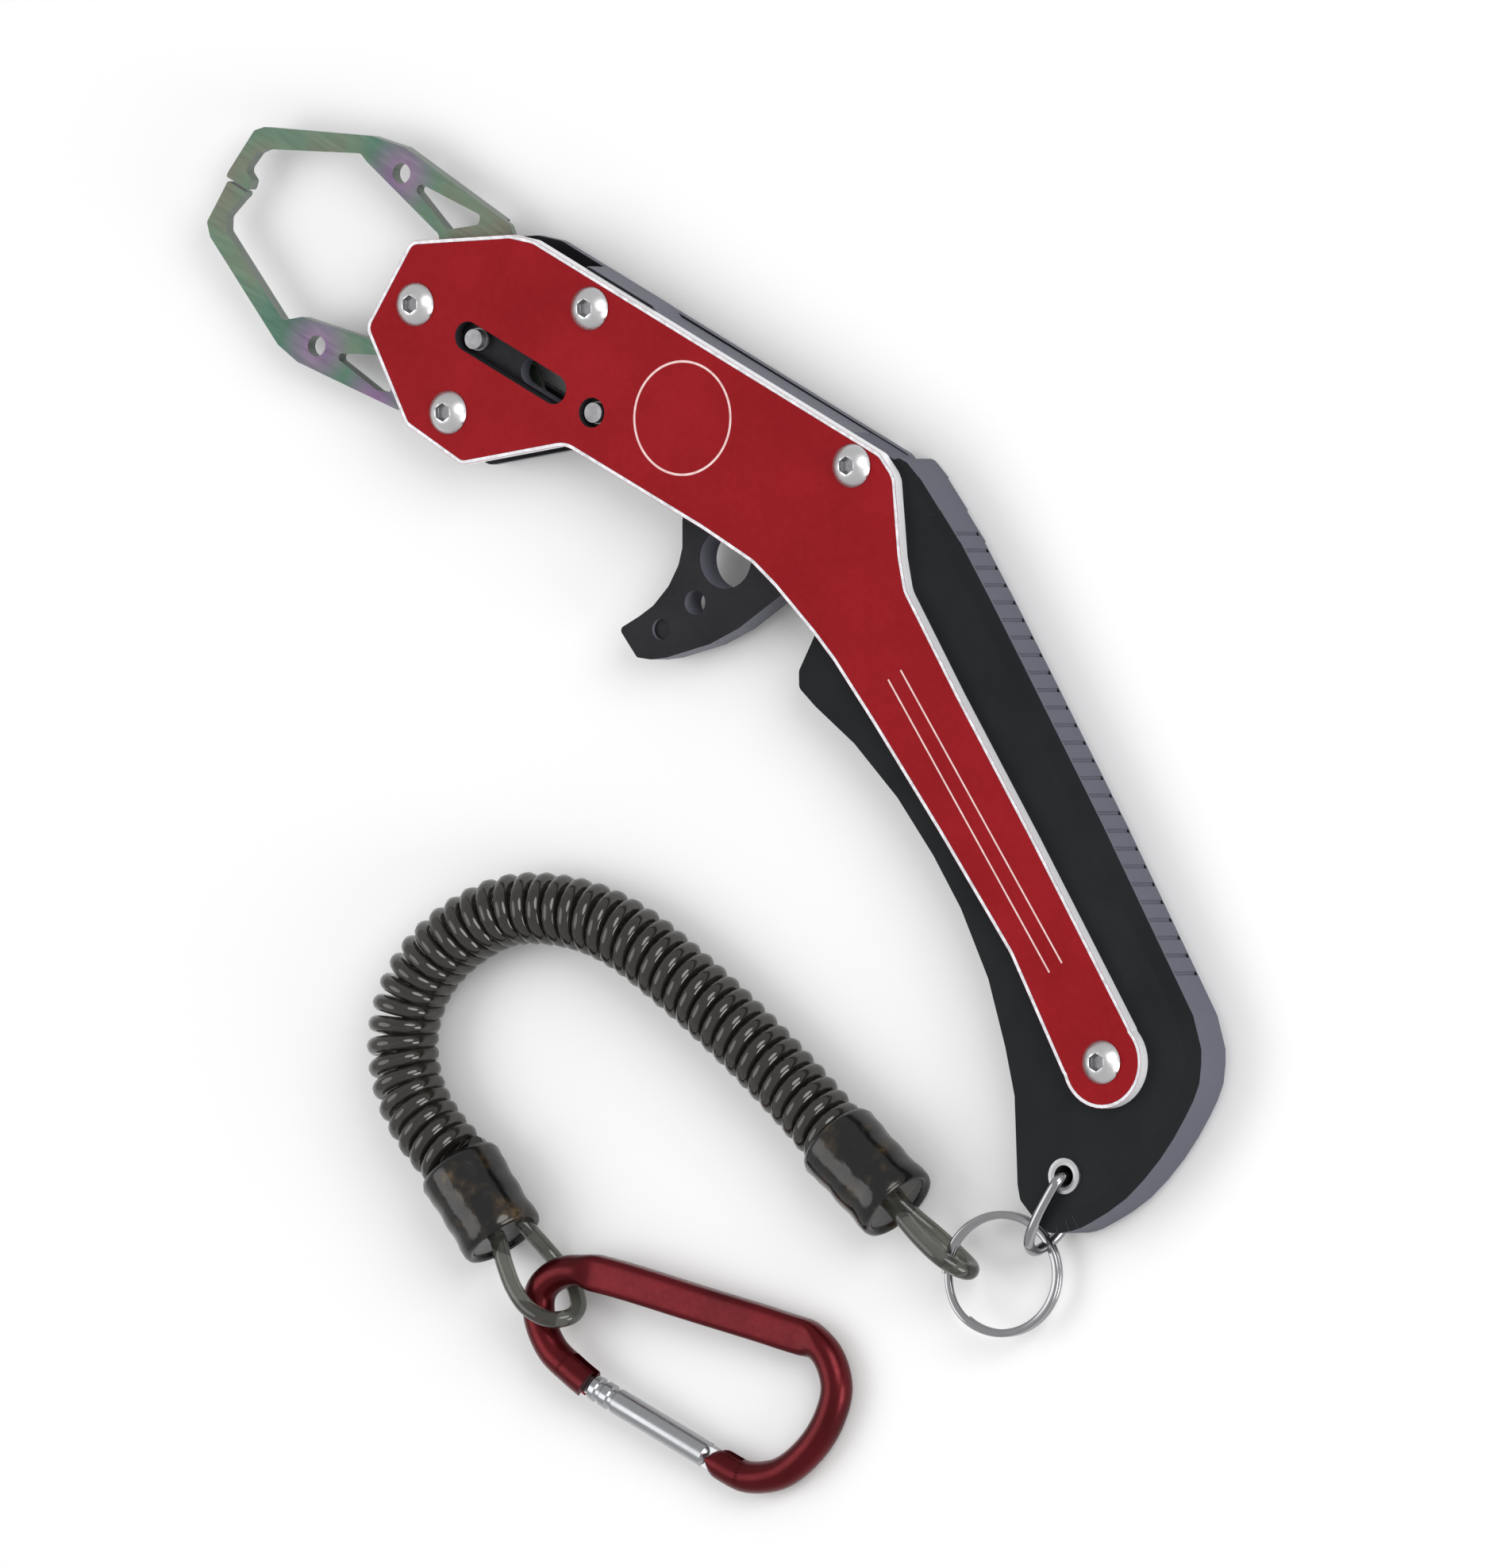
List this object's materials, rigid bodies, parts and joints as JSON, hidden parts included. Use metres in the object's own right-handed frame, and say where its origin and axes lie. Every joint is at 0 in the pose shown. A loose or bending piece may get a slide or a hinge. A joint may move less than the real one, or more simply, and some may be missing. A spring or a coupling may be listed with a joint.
{
  "type": "fish lip gripper",
  "caption": "Pistol-grip fish lip gripper: crossed spring-closed steel jaws worked by a pull trigger, grooved angled grip, curly lanyard, split ring and carabiner.",
  "frame": {"origin": "on the jaw pivot screw's axis, at the rest plane under its cap nut", "axes": "+X along the barrel from the jaw pivot towards the grip, +Y towards the barrel's top edge, +Z out of the front plate, away from the surface it lies on"},
  "size_m": [0.2506, 0.1759, 0.0153],
  "materials": {
    "red_plate": "red anodised face with bare bright edges",
    "black_plate": "black anodised",
    "grip_plastic": "fine matt texture",
    "insert_brass": "machined",
    "steel": "turned",
    "jaw_steel": "iridescent green and purple coating",
    "black_steel": "blackened",
    "trigger_black": "black anodised",
    "screw_steel": "polished",
    "chrome": "polished",
    "cord_smoke": "smoky translucent",
    "cap_smoke": "smoky translucent, glossy",
    "clip_red": "deep red anodised",
    "gate_aluminium": "bare, satin"
  },
  "bodies": {
    "frame": {"front_plate": "red_plate", "rear_plate": "black_plate", "top_rail": "black_plate", "grip": "grip_plastic", "grip_insert": "insert_brass", "post_sleeve": "steel", "pivot_bush": "steel", "jaw_washer": "steel", "jaw_spacer": "steel", "guide_pin": "steel", "return_spring": "steel", "plate_screws": "screw_steel", "plate_nuts": "screw_steel", "eyelet": "screw_steel", "link": "chrome", "split_ring": "chrome", "cord_loop_grip": "cord_smoke", "cap_grip": "cap_smoke", "lanyard_coil": "cord_smoke", "cap_clip": "cap_smoke", "cord_loop_clip": "cord_smoke", "carabiner_body": "clip_red", "gate_pin": "steel"},
    "trigger_unit": {"trigger": "trigger_black", "pull_rod": "black_steel", "drive_pin": "steel", "trigger_rivets": "steel"},
    "upper_jaw": {"upper_jaw": "jaw_steel"},
    "lower_jaw": {"lower_jaw": "jaw_steel"},
    "gate": {"carabiner_gate": "gate_aluminium"}
  },
  "joints": [
    {"name": "trigger_slide", "type": "slide", "parent": "frame", "child": "trigger_unit", "axis": [1, 0, 0], "range_m": [0, 0.015], "stiffness_N_per_m": 400, "springref_m": -0.004, "deforming": ["return_spring"]},
    {"name": "upper_jaw_pivot", "type": "hinge", "parent": "frame", "child": "upper_jaw", "pos_m": [0, 0, 0.006], "axis": [0, 0, -1], "range_deg": [0, 20]},
    {"name": "lower_jaw_pivot", "type": "hinge", "parent": "frame", "child": "lower_jaw", "pos_m": [0, 0, 0.006], "axis": [0, 0, 1], "range_deg": [0, 20]},
    {"name": "gate_hinge", "type": "hinge", "parent": "frame", "child": "gate", "pos_m": [0.14433, -0.1513, 0.00373], "axis": [-0.0558, 0, -0.9984], "range_deg": [0, 26], "stiffness_Nm_per_rad": 0.05, "springref_deg": -5.73}
  ],
  "couplings": [
    {"joint": "upper_jaw_pivot", "follows": "trigger_slide", "rad_per_m": 23.271},
    {"joint": "lower_jaw_pivot", "follows": "trigger_slide", "rad_per_m": 23.271}
  ]
}
